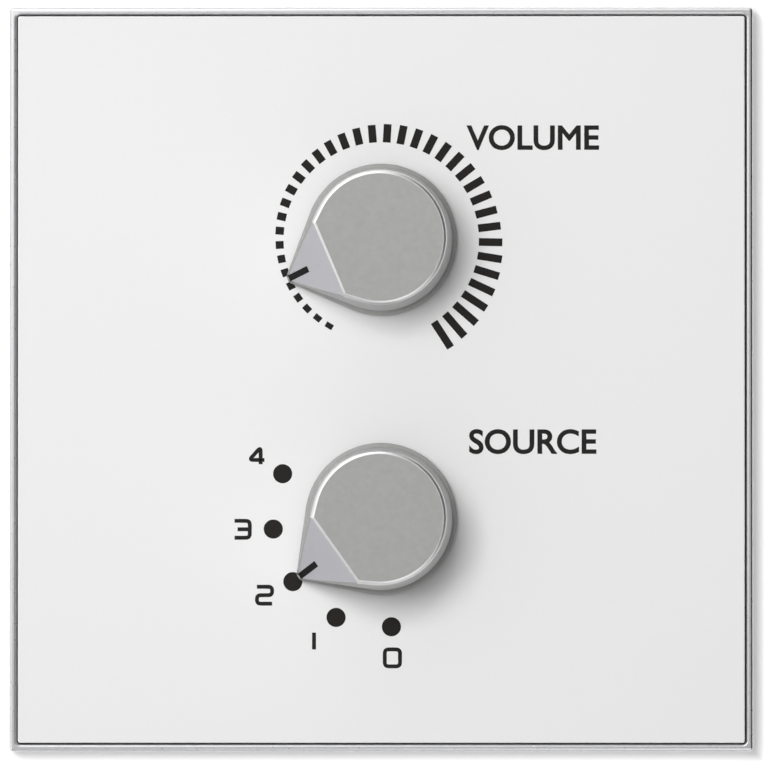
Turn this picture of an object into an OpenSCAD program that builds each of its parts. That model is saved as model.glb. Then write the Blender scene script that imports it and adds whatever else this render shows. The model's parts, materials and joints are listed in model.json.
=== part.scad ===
// Wall volume and source control: a square panel with a level knob above a five-way source knob.
// Drawn lying face up: x right, y up the wall, z out of the wall, with the wall plane at z = 0.

/* [Frame and plate] */
// Outside width and height of the square frame
frame_size = 80; // [77:0.5:86]
// Visible width of the frame around the plate
rim_w = 0.8; // [0.5:0.1:1.6]
// Gap between the edge of the plate and the frame
plate_gap = 0.1; // [0.05:0.05:0.3]
// Distance from the wall to the front of the plate
front_depth = 9.2; // [8.8:0.2:11]
// Thickness of the front plate
plate_t = 2; // [1.6:0.1:2.6]
// How far the plate stands proud of the frame
plate_proud = 0.25; // [0:0.05:0.5]
// Thickness of the skirt of the frame
skirt_t = 1.4; // [1:0.1:2]

/* [Controls] */
// Distance between the two shafts
control_pitch = 30; // [28.5:0.5:30.5]
// Diameter of both shafts
shaft_d = 6; // [5.5:0.25:6.25]
// Radius of the body of either control behind the bridge
case_r = 8.5; // [8:0.1:9]
// Level pointer, degrees clockwise from straight down
level_rest = 67; // [31:1:327]
// Source pointer, degrees clockwise from straight down
select_rest = 54.6; // [-5.4:30:114.6]
// Angle between two source positions
select_step = 30; // [20:10:30]

/* [Knobs] */
// Diameter of the lip at the foot of a knob
knob_d = 16.3; // [15.6:0.1:18]
// Height of a knob
knob_h = 12.5; // [11:0.5:16]
// Draft of the wall of a knob in degrees
knob_draft = 2.5; // [1:0.5:4]
// Radius of the rounded edge of the top of a knob
knob_edge = 0.4; // [0.2:0.1:0.8]
// Distance from the shaft axis to the tip of the pointer
pointer_reach = 10.9; // [10.2:0.1:11.2]
// Distance from the shaft axis to the upper edge of the facet
facet_at = 5.9; // [5.4:0.1:6.4]
// Height of the tip of the pointer
tip_h = 1.6; // [1:0.1:3]
// Gap between a knob and the plate
knob_gap = 0.5; // [0.3:0.1:1]

/* [Bridge] */
// Gap between the skirt of the frame and the flange of the bridge
flange_gap = 3.1; // [2.6:0.1:4]
// Thickness of the pressed steel
bridge_t = 1.2; // [1:0.1:1.4]
// Distance between two opposite screw slots
screw_pitch = 60; // [58:0.5:61]
// Width of a screw slot
slot_w = 4.2; // [3.6:0.1:4.6]
// Length of a screw slot from end to end
slot_len = 6.2; // [5.4:0.2:6.6]

/* [Board and terminals] */
// Width of the circuit board
board_w = 38; // [34:0.5:40]
// Thickness of the circuit board
board_t = 1.6; // [1.2:0.2:2]
// Number of screw terminals
terminal_ways = 4; // [2:1:5]
// Distance between two screw terminals
terminal_pitch = 3.81; // [3.5:0.01:3.9]

/* [Hidden] */
$fn = 96;

// Fits: nested fixed pieces, a shaft turning in a bore, a contact sweeping over its face, a loose hole
seat_gap = 0.03;
run_gap = 0.04;
sweep_gap = 0.08;
hole_gap = 0.1;
// How far a cut runs past a face, how far shapes of one piece run into each other, a length past all
past = 1;
weld = 0.2;
reach = 60;

// Frame and plate
plate_size = frame_size - 2 * rim_w - 2 * plate_gap;
plate_back = front_depth - plate_t;
rim_top = front_depth - plate_proud;
skirt_in = frame_size - 2 * skirt_t;
frame_r = 0.4;
plate_r = 0.25;
plate_hole_gap = 0.2;
ledge_w = 2.6;
ledge_t = 1.4;
rib_w = 1.6;
rib_at = 22;
rib_gap = 0.2;
rib_foot = 0.4;

// Bushings, nuts and washers
shaft_r = shaft_d / 2;
thread_wall = 0.5;
thread_r = shaft_r + thread_wall;
thread_over = 0.4;
nut_t = 2;
nut_wall = 1.5;
nut_af = 2 * (thread_r + nut_wall);
washer_t = 0.5;
washer_w = 2.2;
washer_r = thread_r + washer_w;
tooth_gap = 1.2;
tooth_len = 1;
tooth_step = 45;
platform = plate_back - nut_t - washer_t;
shoulder = platform - bridge_t;
thread_end = front_depth + washer_t + nut_t + thread_over;
flange_t = 1.4;
lug_edge = 1;
lug_at = case_r - lug_edge;
lug_w = 2.4;
lug_t = 1.1;
lug_gap = 0.15;
lug_over = 0.9;
lug_h = bridge_t + lug_over;

// Shaft retaining clip
clip_t = 0.5;
clip_w = 1.4;
clip_r = shaft_r + clip_w;
clip_mouth = 3.2;
clip_in = 0.1;
clip_play = 0.02;
clip_pocket = 0.7;
clip_room = 0.3;
groove_d = 0.55;
groove_r = shaft_r - groove_d;
tang_d = 2.4;
tang = shaft_d - tang_d;
flat_lead = 0.3;

// Level control
case_t = 0.45;
case_in = case_r - case_t;
case_depth = 4.4;
wafer_t = 1.2;
wafer_front = shoulder - flange_t;
wafer_back = wafer_front - wafer_t;
wafer_hole_gap = 0.5;
case_back = wafer_back - case_depth;
track_gap = 1;
rotor_t = 1.6;
rotor_room = 1.45;
rotor_r = case_in - rotor_room;
rotor_front = wafer_back - track_gap;
rotor_back = rotor_front - rotor_t;
rotor_lug_gap = 0.7;
rotor_lug_w = 3.4;
stop_tab_gap = 0.35;
stop_tab_w = 3.6;
stop_tab_top = 0.3;
level_stop = -1;
wiper_edge = 0.7;
wiper_r = rotor_r - wiper_edge;
wiper_hole_gap = 0.3;
wiper_at = wiper_r - wiper_edge;
wiper_tip_r = 0.5;
eyelet_r = 0.6;
eyelet_head_r = 1;
eyelet_head_t = 0.3;
pin_out = 1.7;
pin_at = case_r + pin_out;
pin_step = 5;
tab_edge = 1.6;
tab_side = 1.8;
tail_w = 0.9;
tail_t = 0.5;
crimp_angles = [0, 60, 120, 180];
crimp_w = 2.4;
crimp_len = 1.3;
crimp_root = 0.6;
crimp_gap = 0.1;

// Source control
stop_t = 0.5;
stop_edge = 0.25;
stop_r = lug_at - lug_t / 2 - stop_edge;
stop_pin_r = 0.5;
stop_pin_h = 0.5;
stop_pin_edge = 1.1;
stop_pin_at = stop_r - stop_pin_edge;
stop_pin_gap = 0.05;
stop_turn = 3.5 * select_step;
shoulder2 = shoulder - stop_t;
ear_out = 1.1;
ear_at = case_r + ear_out;
ear_r = 1.9;
rivet_r = 0.9;
rivet_head_r = 1.5;
rivet_head_t = 0.35;
sleeve_wall = 1;
sleeve_in = case_r - sleeve_wall;
sleeve_len = 3.3;
sleeve_front = shoulder2 - flange_t;
sleeve_back = sleeve_front - sleeve_len;
leaf_gap = 0.3;
leaf_r = sleeve_in - leaf_gap;
leaf_t = 0.3;
leaf_foot_r = 0.37;
leaf_foot_turn = 32;
leaf_low = leaf_r / 2;
wheel_gap = 0.4;
wheel_t = 2;
wheel_room = 1.6;
wheel_r = leaf_r - wheel_room;
wheel_front = sleeve_front - wheel_gap;
wheel_back = wheel_front - wheel_t;
notch_out = 0.4;
notch_at = wheel_r + notch_out;
notch_r = 0.66;
nib_gap = 0.06;
nib_w = 0.6;
contact_t = 0.3;
contact_at = wheel_r;
contact_arm_w = 1.6;
contact_arm_end = 0.6;
dimple_r = 0.45;
track_w = 1.4;
common_out = 1.8;
common_at = tang / 2 + common_out;
common_turn = 60;
button_r = 0.9;
button_t = 0.2;
stake_r = 0.5;
stake_head_r = 0.8;
stake_head_t = 0.3;
stake_w = 0.7;
base_t = 1.6;
base_back = sleeve_back - base_t;
select_first = -5.4;
select_ways = 5;

// Knob
knob_r = knob_d / 2;
knob_base = front_depth + knob_gap;
lip_h = 1.4;
lip_w = 0.4;
wall_r = knob_r - lip_w;
edge_low = knob_h - knob_edge;
edge_r = wall_r - edge_low * tan(knob_draft) - knob_edge;
pointer_top = edge_low - knob_edge;
side_inset = 0.1;
cavity_gap = 0.6;
cavity_r = washer_r + cavity_gap;
roof_t = 2.9;
cavity_h = knob_h - roof_t;
boss_wall = 1.5;
boss_r = shaft_r + boss_wall;
boss_gap = 0.5;
boss_low = thread_end + boss_gap - knob_base;
bore_roof = 1.8;
bore_h = knob_h - bore_roof;
flat_d = 1.5;
flat_at = shaft_r - flat_d;
web_w = 1;
slit_w = 0.8;
ring_t = 0.5;
ring_edge = 0.3;
ring_low = boss_low + ring_edge;
ring_h = 2;
ring_mouth = 3;
web_low = ring_low + ring_h + ring_edge;
facet_slope = atan((knob_h - tip_h) / (pointer_reach - facet_at));
facet_len = (pointer_reach - facet_at) / cos(facet_slope);
line_w = 0.7;
line_t = 0.3;
line_reach = 2.5;
line_in = pointer_reach - line_reach;
shaft_gap = 0.2;
shaft_end = knob_base + bore_h - shaft_gap;

// Board and bridge
board_gap = 1;
board_front = case_back - board_gap;
board_back = board_front - board_t;
bridge_size = skirt_in - 2 * flange_gap;
hat_side_gap = 1.4;
hat_end_gap = 1.2;
hat_in_w = board_w + 2 * hat_side_gap;
hat_in_h = control_pitch + 2 * case_r + 2 * hat_end_gap;
hat_w = hat_in_w + 2 * bridge_t;
hat_h = hat_in_h + 2 * bridge_t;
hat_r = 4;
board_end_gap = 1.3;
board_h = hat_in_h - 2 * board_end_gap;
board_cut = 4;
solder_gap = 0.06;
spacer_edge = 5;
spacer_at = board_w / 2 - spacer_edge;
spacer_r = 2.5;
clinch_r = 2.1;
screw_r = 1.5;
screw_len = 5;
screw_head_r = 2.75;
screw_head_t = 1.7;
drive_w = 0.7;
drive_len = 4;
drive_d = 0.8;
tail = 1.2;
resistor_count = 4;
resistor_len = 3.2;
resistor_w = 1.6;
resistor_t = 0.55;
resistor_pitch = 3;
resistor_side = 8.2;
resistor_end = 4.4;

// Terminals
ways_w = terminal_ways * terminal_pitch;
head_over = 1.7;
head_w = ways_w + head_over;
head_d = 7.2;
head_h = 9.2;
head_wall = 0.8;
head_floor = 2;
head_end = board_back - head_h;
key_w = 1.2;
key_h = 2.4;
pin_w = 1;
pin_recess = 1;
pin_tail = 1.4;
plug_gap = 0.1;
plug_low = -3.8;
plug_high = 6.2;
plug_h = 9.4;
plug_side = 0.5;
plug_end = head_end - plug_gap - plug_h;
nose_gap = 0.4;
socket_gap = 0.15;
socket_end = 0.3;
cage_w = 2.7;
cage_low = -2.6;
cage_high = 3.2;
cage_h = 5.6;
cage_wall = 0.5;
cage_floor = 0.8;
cage_roof = 1;
cage_back = 0.6;
cage_in = 0.9;
cage_end = plug_end + cage_in;
clamp_r = 1;
clamp_len = 1.6;
clamp_head_r = 1.5;
clamp_head_t = 1.3;
clamp_lift = 0.9;
clamp_slot_w = 0.5;
clamp_slot_d = 0.6;

module upright() rotate([90, 0, 0]) children();
module at_level() translate([0, control_pitch / 2, 0]) children();
module at_select() translate([0, -control_pitch / 2, 0]) children();
module turned(a) rotate([0, 0, -90 - a]) children();
module slab(z0, z1) translate([0, 0, z0]) linear_extrude(z1 - z0) children();
module rod(r, z0, z1) translate([0, 0, z0]) cylinder(r = r, h = z1 - z0);
module block(x0, x1, y0, y1, z0, z1) translate([x0, y0, z0]) cube([x1 - x0, y1 - y0, z1 - z0]);
module bar(w, h, z0, z1) block(-w / 2, w / 2, -h / 2, h / 2, z0, z1);
module both_sides(at) for (s = [-1, 1]) translate([s * at, 0, 0]) children();

module rounded(w, h, r) {
    square([w - 2 * r, h], center = true);
    square([w, h - 2 * r], center = true);
    for (x = [-1, 1], y = [-1, 1])
        translate([x * (w / 2 - r), y * (h / 2 - r)]) circle(r);
}

module slot(z0, z1) {
    both_sides(slot_len / 2 - slot_w / 2) rod(slot_w / 2, z0, z1);
    bar(slot_len - slot_w, slot_w, z0, z1);
}

// Frame, plate and bridge
module bezel_frame() color("silver") upright() {
    ledge_low = plate_back - ledge_t;
    opening = plate_size + 2 * plate_gap;
    difference() {
        slab(0, rim_top) rounded(frame_size, frame_size, frame_r);
        slab(plate_back, rim_top + past) rounded(opening, opening, plate_r + plate_gap);
        slab(-past, rim_top + past) square(plate_size - 2 * ledge_w, center = true);
        slab(-past, ledge_low) square(skirt_in, center = true);
    }
    for (a = [0, 90, 180, 270], s = [-1, 1]) rotate([0, 0, a])
        block(s * rib_at - rib_w / 2, s * rib_at + rib_w / 2, bridge_size / 2 + rib_gap, skirt_in / 2 + weld,
            rib_foot, ledge_low + weld);
}

module front_plate() color("whitesmoke") upright() difference() {
    slab(plate_back, front_depth) rounded(plate_size, plate_size, plate_r);
    at_level() rod(thread_r + plate_hole_gap, plate_back - past, front_depth + past);
    at_select() rod(thread_r + plate_hole_gap, plate_back - past, front_depth + past);
}

module bushing_hole(lug_turn) {
    rod(thread_r + hole_gap, shoulder - past, platform + past);
    rotate([0, 0, lug_turn]) translate([lug_at, 0, 0])
        bar(lug_t + 2 * lug_gap, lug_w + 2 * lug_gap, shoulder - past, platform + past);
}

module mounting_bridge() color("lightsteelblue") upright() difference() {
    union() {
        slab(0, bridge_t) rounded(bridge_size, bridge_size, hat_r);
        slab(0, platform) rounded(hat_w, hat_h, hat_r);
    }
    slab(-past, shoulder) rounded(hat_in_w, hat_in_h, hat_r - bridge_t);
    at_level() bushing_hole(90);
    at_select() bushing_hole(0);
    for (a = [0, 90, 180, 270]) rotate([0, 0, a])
        translate([screw_pitch / 2, 0, 0]) slot(-past, bridge_t + past);
    both_sides(spacer_at) rod(clinch_r + seat_gap, shoulder - past, platform + past);
}

// Knob with a drafted wall, a tangent pointer, a sloping facet and a moulded underside
module pointer_sides(r, h, draft) rotate([0, 0, -45]) intersection() {
    cube([reach, reach, h]);
    translate([r, 0, 0]) rotate([0, -draft, 0]) translate([-reach, -reach, -reach])
        cube([reach, 2 * reach, 2 * reach]);
    translate([0, r, 0]) rotate([draft, 0, 0]) translate([-reach, -reach, -reach])
        cube([2 * reach, reach, 2 * reach]);
    rotate([0, 0, 45]) translate([pointer_reach - reach, -reach, -past])
        cube([reach, 2 * reach, h + 2 * past]);
}

module pointer() {
    pointer_sides(knob_r - side_inset, lip_h, 0);
    pointer_sides(wall_r - side_inset, pointer_top, knob_draft);
}

module facet_place() translate([facet_at, 0, knob_h]) rotate([0, facet_slope, 0]) children();

module index_groove(extra) {
    run = (line_in - facet_at) / cos(facet_slope);
    facet_place() block(run, facet_len + past + extra, -line_w / 2, line_w / 2, -line_t, extra);
}

module knob_outside() difference() {
    union() {
        rod(knob_r, 0, lip_h);
        rotate_extrude() polygon([
            [0, 0], [wall_r, 0],
            for (a = [0 : 30 : 90]) [edge_r + knob_edge * cos(a), edge_low + knob_edge * sin(a)],
            [0, knob_h]
        ]);
        pointer();
    }
    facet_place() translate([0, -reach / 2, 0]) cube([reach, reach, reach]);
}

module d_shape(r, flat) difference() {
    circle(r);
    translate([-flat - reach, -reach / 2]) square(reach);
}

module knob_shape() difference() {
    knob_outside();
    difference() {
        rod(cavity_r, -past, cavity_h);
        rod(boss_r, boss_low, cavity_h + past);
        for (a = [45, 135, 225, 315]) rotate([0, 0, a])
            block(boss_r - weld, cavity_r + past, -web_w / 2, web_w / 2, web_low, cavity_h + past);
    }
    slab(boss_low - past, bore_h) d_shape(shaft_r + seat_gap, flat_at + seat_gap);
    bar(slit_w, 2 * boss_r + 2 * seat_gap, boss_low - past, web_low);
    index_groove(past);
}

module knob_line() intersection() {
    index_groove(0);
    union() pointer();
}

module knob_ring() difference() {
    rod(boss_r + ring_t, ring_low, ring_low + ring_h);
    rod(boss_r + seat_gap, ring_low - past, ring_low + ring_h + past);
    block(0, reach, -ring_mouth / 2, ring_mouth / 2, ring_low - past, ring_low + ring_h + past);
}

module on_shaft(a) turned(a) translate([0, 0, knob_base]) children();

module level_knob() color("darkgray") upright() at_level() on_shaft(level_rest) knob_shape();
module select_knob() color("darkgray") upright() at_select() on_shaft(select_rest) knob_shape();
module level_index_line() color("black") upright() at_level() on_shaft(level_rest) knob_line();
module select_index_line() color("black") upright() at_select() on_shaft(select_rest) knob_line();
module level_knob_clip() color("gray") upright() at_level() on_shaft(level_rest) knob_ring();
module select_knob_clip() color("gray") upright() at_select() on_shaft(select_rest) knob_ring();

// Nuts and washers
module hex_nut(z0) difference() {
    translate([0, 0, z0]) cylinder(d = nut_af / cos(30), h = nut_t, $fn = 6);
    rod(thread_r + seat_gap, z0 - past, z0 + nut_t + past);
}

module flat_washer(z0) difference() {
    rod(washer_r, z0, z0 + washer_t);
    rod(thread_r + hole_gap, z0 - past, z0 + washer_t + past);
}

module toothed_washer(z0) difference() {
    flat_washer(z0);
    for (a = [0 : tooth_step : 359]) rotate([0, 0, a])
        block(thread_r - weld, thread_r + tooth_len, -tooth_gap / 2, tooth_gap / 2, z0 - past, z0 + washer_t + past);
}

module level_lock_washer() color("silver") upright() at_level() toothed_washer(platform);
module select_lock_washer() color("silver") upright() at_select() toothed_washer(platform);
module level_bridge_nut() color("silver") upright() at_level() hex_nut(platform + washer_t);
module select_bridge_nut() color("silver") upright() at_select() hex_nut(platform + washer_t);
module level_plate_washer() color("silver") upright() at_level() flat_washer(front_depth);
module select_plate_washer() color("silver") upright() at_select() flat_washer(front_depth);
module level_plate_nut() color("silver") upright() at_level() hex_nut(front_depth + washer_t);
module select_plate_nut() color("silver") upright() at_select() hex_nut(front_depth + washer_t);

// Shafts
module d_shaft(front, tang_front, tang_back) difference() {
    clip_low = front - flange_t + clip_in;
    union() {
        rod(shaft_r, tang_front, shaft_end);
        bar(tang, tang, tang_back, tang_front + weld);
    }
    block(-reach, -flat_at, -reach / 2, reach / 2, boss_low + knob_base - flat_lead, shaft_end + past);
    difference() {
        rod(shaft_r + past, clip_low - clip_play, clip_low + clip_t + clip_play);
        rod(groove_r, clip_low - past, clip_low + clip_t + past);
    }
}

module c_clip(front) difference() {
    clip_low = front - flange_t + clip_in;
    rod(clip_r, clip_low, clip_low + clip_t);
    rod(groove_r + seat_gap, clip_low - past, clip_low + clip_t + past);
    block(0, reach, -clip_mouth / 2, clip_mouth / 2, clip_low - past, clip_low + clip_t + past);
}

module tang_hole(z0, z1) bar(tang + 2 * seat_gap, tang + 2 * seat_gap, z0, z1);

module level_shaft() color("lightgray") upright() at_level() turned(level_rest)
    d_shaft(shoulder, rotor_front, rotor_back);
module select_shaft() color("lightgray") upright() at_select() turned(select_rest)
    d_shaft(shoulder2, wheel_front, wheel_back - contact_t - hole_gap);
module level_shaft_clip() color("gray") upright() at_level() turned(level_rest) c_clip(shoulder);
module select_shaft_clip() color("gray") upright() at_select() turned(select_rest) c_clip(shoulder2);

module bushing_bore(front) {
    rod(shaft_r + run_gap, front - flange_t - past, thread_end + past);
    rod(clip_r + clip_room, front - flange_t - past, front - flange_t + clip_pocket);
}

module lug(front, h) translate([lug_at, 0, 0]) bar(lug_t, lug_w, front - weld, front + h);

// Level control: die-cast bushing, phenolic wafer, wiper on a rotor, drawn can
module each_crimp() for (a = crimp_angles) rotate([0, 0, a]) children();
module each_pin() for (x = [-1, 0, 1]) translate([x * pin_step, -pin_at, 0]) children();

module crimp_notch(inner, z0, z1) each_crimp()
    block(inner - crimp_gap, case_r + past, -crimp_w / 2 - crimp_gap, crimp_w / 2 + crimp_gap, z0, z1);

module level_bushing() color("khaki") upright() at_level() difference() {
    union() {
        rod(case_r, wafer_front, shoulder);
        rod(thread_r, shoulder - weld, thread_end);
        rotate([0, 0, 90]) lug(shoulder, lug_h);
    }
    bushing_bore(shoulder);
    crimp_notch(case_in, wafer_front - past, shoulder + past);
    crimp_notch(case_r - crimp_len, shoulder - case_t - seat_gap, shoulder + past);
}

module level_wafer() color("peru") upright() at_level() difference() {
    tab_w = pin_step + tab_side;
    union() {
        rod(case_r, wafer_back, wafer_front);
        block(-tab_w, tab_w, -pin_at - tab_edge, -pin_step, wafer_back, wafer_front);
    }
    rod(shaft_r + wafer_hole_gap, wafer_back - past, wafer_front + past);
    crimp_notch(case_in, wafer_back - past, wafer_front + past);
    each_pin() rod(eyelet_r + seat_gap, wafer_back - past, wafer_front + past);
}

module level_terminals() color("gold") upright() at_level() each_pin() {
    rod(eyelet_head_r, wafer_front, wafer_front + eyelet_head_t);
    rod(eyelet_r, wafer_back - weld, wafer_front + weld);
    rod(eyelet_head_r, wafer_back - eyelet_head_t, wafer_back);
    bar(tail_w, tail_t, board_back - tail, wafer_back - eyelet_head_t + weld);
}

module level_case() color("silver") upright() at_level() {
    difference() {
        rod(case_r, case_back, wafer_back);
        rod(case_in, case_back + case_t, wafer_back + past);
    }
    turned(level_stop) block(rotor_r + stop_tab_gap, case_in + weld, -stop_tab_w / 2, stop_tab_w / 2,
        case_back + weld, wafer_back - stop_tab_top);
    each_crimp() {
        block(case_in, case_r, -crimp_w / 2, crimp_w / 2, wafer_back - crimp_root, shoulder);
        block(case_r - crimp_len, case_r, -crimp_w / 2, crimp_w / 2, shoulder - case_t, shoulder);
    }
}

module level_rotor() color("ivory") upright() at_level() turned(level_rest) difference() {
    union() {
        rod(rotor_r, rotor_back, rotor_front);
        block(wiper_at, case_in - rotor_lug_gap, -rotor_lug_w / 2, rotor_lug_w / 2, rotor_back, rotor_front);
    }
    tang_hole(rotor_back - past, rotor_front + past);
}

module level_wiper() color("goldenrod") upright() at_level() turned(level_rest) {
    difference() {
        rod(wiper_r, rotor_front, rotor_front + contact_t);
        rod(shaft_r + wiper_hole_gap, rotor_front - past, rotor_front + past);
    }
    both_sides(wiper_at) rod(wiper_tip_r, rotor_front + contact_t - weld, wafer_back - sweep_gap);
}

// Source control: bushing with stop holes, stop washer, detent wheel and leaf, contact base
module eared() {
    circle(case_r);
    both_sides(ear_at) circle(ear_r);
}

module rivet_holes(z0, z1) both_sides(ear_at) rod(rivet_r + seat_gap, z0, z1);
module each_way() for (k = [0 : select_ways - 1]) turned(select_first + k * select_step)
    translate([contact_at, 0, 0]) children();
module at_common() rotate([0, 0, common_turn]) translate([common_at, 0, 0]) children();

module select_bushing() color("khaki") upright() at_select() difference() {
    union() {
        slab(sleeve_front, shoulder2) eared();
        rod(thread_r, shoulder2 - weld, thread_end);
        lug(shoulder2, lug_h + stop_t);
    }
    bushing_bore(shoulder2);
    rivet_holes(sleeve_front - past, shoulder2 + past);
    for (a = [select_step / 2 : select_step : 359]) rotate([0, 0, a]) translate([stop_pin_at, 0, 0])
        rod(stop_pin_r + stop_pin_gap, shoulder2 - stop_pin_h - hole_gap, shoulder2 + past);
}

module select_stop_washer() color("silver") upright() at_select() {
    difference() {
        rod(stop_r, shoulder2, shoulder);
        rod(thread_r + hole_gap, shoulder2 - past, shoulder + past);
    }
    rotate([0, 0, stop_turn]) translate([stop_pin_at, 0, 0])
        rod(stop_pin_r, shoulder2 - stop_pin_h, shoulder2 + weld);
}

module select_sleeve() color("dimgray") upright() at_select() difference() {
    slab(sleeve_back, sleeve_front) eared();
    rod(sleeve_in, sleeve_back - past, sleeve_front + past);
    rivet_holes(sleeve_back - past, sleeve_front + past);
}

module select_detent_wheel() color("ivory") upright() at_select() turned(select_rest) difference() {
    rod(wheel_r, wheel_back, wheel_front);
    tang_hole(wheel_back - past, wheel_front + past);
    for (k = [0 : floor(360 / select_step) - 1]) rotate([0, 0, 180 + select_rest + k * select_step])
        translate([notch_at, 0, 0]) rod(notch_r, wheel_back - past, wheel_front + past);
}

module select_detent_spring() color("goldenrod") upright() at_select() {
    slab(wheel_back, wheel_front) intersection() {
        difference() {
            circle(leaf_r);
            circle(leaf_r - leaf_t);
        }
        translate([-reach / 2, leaf_low]) square(reach);
    }
    for (a = [leaf_foot_turn, 180 - leaf_foot_turn]) rotate([0, 0, a])
        translate([sleeve_in - seat_gap - leaf_foot_r, 0, 0]) rod(leaf_foot_r, wheel_back, wheel_front);
    block(-nib_w / 2, nib_w / 2, notch_at, leaf_r - leaf_t / 2, wheel_back, wheel_front);
    translate([0, notch_at, 0]) rod(notch_r - nib_gap, wheel_back, wheel_front);
}

module select_moving_contact() color("goldenrod") upright() at_select() turned(select_rest) {
    difference() {
        union() {
            rod(common_at + track_w / 2, wheel_back - contact_t, wheel_back);
            block(common_at, contact_at + contact_arm_end, -contact_arm_w / 2, contact_arm_w / 2,
                wheel_back - contact_t, wheel_back);
        }
        tang_hole(wheel_back - past, wheel_back + past);
    }
    for (x = [contact_at, -common_at]) translate([x, 0, 0])
        rod(dimple_r, sleeve_back + button_t + sweep_gap, wheel_back - contact_t + weld);
}

module select_contact_base() color("saddlebrown") upright() at_select() difference() {
    slab(base_back, sleeve_back) eared();
    rivet_holes(base_back - past, sleeve_back + past);
    each_way() rod(stake_r + seat_gap, base_back - past, sleeve_back + past);
    at_common() rod(stake_r + seat_gap, base_back - past, sleeve_back + past);
}

module select_pin() {
    rod(stake_r, base_back - weld, sleeve_back + button_t / 2);
    rod(stake_head_r, base_back - stake_head_t, base_back);
    bar(stake_w, stake_w, board_back - tail, base_back - stake_head_t + weld);
}

module select_terminals() color("gold") upright() at_select() {
    each_way() {
        rod(button_r, sleeve_back, sleeve_back + button_t);
        select_pin();
    }
    difference() {
        rod(common_at + track_w / 2, sleeve_back, sleeve_back + button_t);
        rod(common_at - track_w / 2, sleeve_back - past, sleeve_back + past);
    }
    at_common() select_pin();
}

module select_rivets() color("silver") upright() at_select() both_sides(ear_at) {
    rod(rivet_r, base_back - weld, shoulder2 + weld);
    rod(rivet_head_r, base_back - rivet_head_t, base_back);
    rod(rivet_head_r, shoulder2, shoulder2 + rivet_head_t);
}

// Circuit board and its fixings
module circuit_board() color("seagreen") upright() difference() {
    w = board_w / 2;
    h = board_h / 2;
    slab(board_back, board_front) polygon([
        [-w + board_cut, -h], [w - board_cut, -h], [w, -h + board_cut], [w, h - board_cut],
        [w - board_cut, h], [-w + board_cut, h], [-w, h - board_cut], [-w, -h + board_cut]
    ]);
    both_sides(spacer_at) rod(screw_r + hole_gap, board_back - past, board_front + past);
    at_level() each_pin() rod(norm([tail_w, tail_t]) / 2 + solder_gap, board_back - past, board_front + past);
    at_select() {
        each_way() rod(stake_w / sqrt(2) + solder_gap, board_back - past, board_front + past);
        at_common() rod(stake_w / sqrt(2) + solder_gap, board_back - past, board_front + past);
    }
    each_terminal() rod(pin_w / sqrt(2) + solder_gap, board_back - past, board_front + past);
}

module board_spacers() color("silver") upright() both_sides(spacer_at) difference() {
    union() {
        rod(spacer_r, board_front, shoulder);
        rod(clinch_r, shoulder - weld, platform);
    }
    rod(screw_r + seat_gap, board_front - past, board_front + screw_len + past);
}

module board_screws() color("lightgray") upright() both_sides(spacer_at) difference() {
    drive_low = board_back - screw_head_t - past;
    drive_high = board_back - screw_head_t + drive_d;
    union() {
        rod(screw_head_r, board_back - screw_head_t, board_back);
        rod(screw_r, board_back - weld, board_front + screw_len);
    }
    bar(drive_w, drive_len, drive_low, drive_high);
    bar(drive_len, drive_w, drive_low, drive_high);
}

module ladder_resistors() color("black") upright() for (k = [0 : resistor_count - 1])
    translate([board_w / 2 - resistor_side, resistor_end - board_h / 2 + k * resistor_pitch, 0])
        bar(resistor_len, resistor_w, board_back - resistor_t, board_back);

// Pluggable screw terminals behind the board
module each_terminal() for (k = [0 : terminal_ways - 1])
    translate([(k - (terminal_ways - 1) / 2) * terminal_pitch, 0, 0]) children();

module clamp_axis() translate([0, 0, cage_end + cage_h / 2]) rotate([-90, 0, 0]) children();

module terminal_header() color("forestgreen") upright() difference() {
    bar(head_w, head_d, head_end, board_back);
    bar(head_w - 2 * head_wall, head_d - 2 * head_wall, head_end - past, board_back - head_floor);
    each_terminal() {
        block(-key_w / 2, key_w / 2, head_d / 2 - head_wall - weld, head_d / 2 + past,
            head_end - past, head_end + key_h);
        bar(pin_w + 2 * seat_gap, pin_w + 2 * seat_gap, board_back - head_floor - past, board_back + past);
    }
}

module header_pins() color("silver") upright() each_terminal()
    bar(pin_w, pin_w, head_end + pin_recess, board_front + pin_tail);

module terminal_plug() color("forestgreen") upright() difference() {
    nose_w = head_w - 2 * head_wall - 2 * plug_gap;
    nose_d = head_d - 2 * head_wall - 2 * plug_gap;
    body_w = ways_w / 2 + plug_side;
    socket_w = pin_w + 2 * socket_gap;
    union() {
        bar(nose_w, nose_d, plug_end + past, board_back - head_floor - nose_gap);
        block(-body_w, body_w, plug_low, plug_high, plug_end, head_end - plug_gap);
    }
    each_terminal() {
        bar(socket_w, socket_w, head_end + pin_recess - socket_end, board_back - head_floor + past);
        block(-cage_w / 2 - seat_gap, cage_w / 2 + seat_gap, cage_low - seat_gap, cage_high + seat_gap,
            plug_end - past, cage_end + cage_h + seat_gap);
        clamp_axis() rod(clamp_head_r + hole_gap, cage_high - weld, plug_high + past);
    }
}

module clamp_cages() color("silver") upright() each_terminal() difference() {
    block(-cage_w / 2, cage_w / 2, cage_low, cage_high, cage_end, cage_end + cage_h);
    block(-cage_w / 2 + cage_wall, cage_w / 2 - cage_wall, cage_low + cage_floor, cage_high - cage_roof,
        cage_end - past, cage_end + cage_h - cage_back);
    clamp_axis() rod(clamp_r + seat_gap, cage_high - cage_roof - past, cage_high + past);
}

module clamp_screws() color("lightgray") upright() each_terminal() clamp_axis() difference() {
    head_low = cage_high + clamp_lift;
    head_top = head_low + clamp_head_t;
    union() {
        rod(clamp_head_r, head_low, head_top);
        rod(clamp_r, cage_high - clamp_len, head_low + weld);
    }
    bar(clamp_slot_w, reach, head_top - clamp_slot_d, head_top + past);
}

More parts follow.
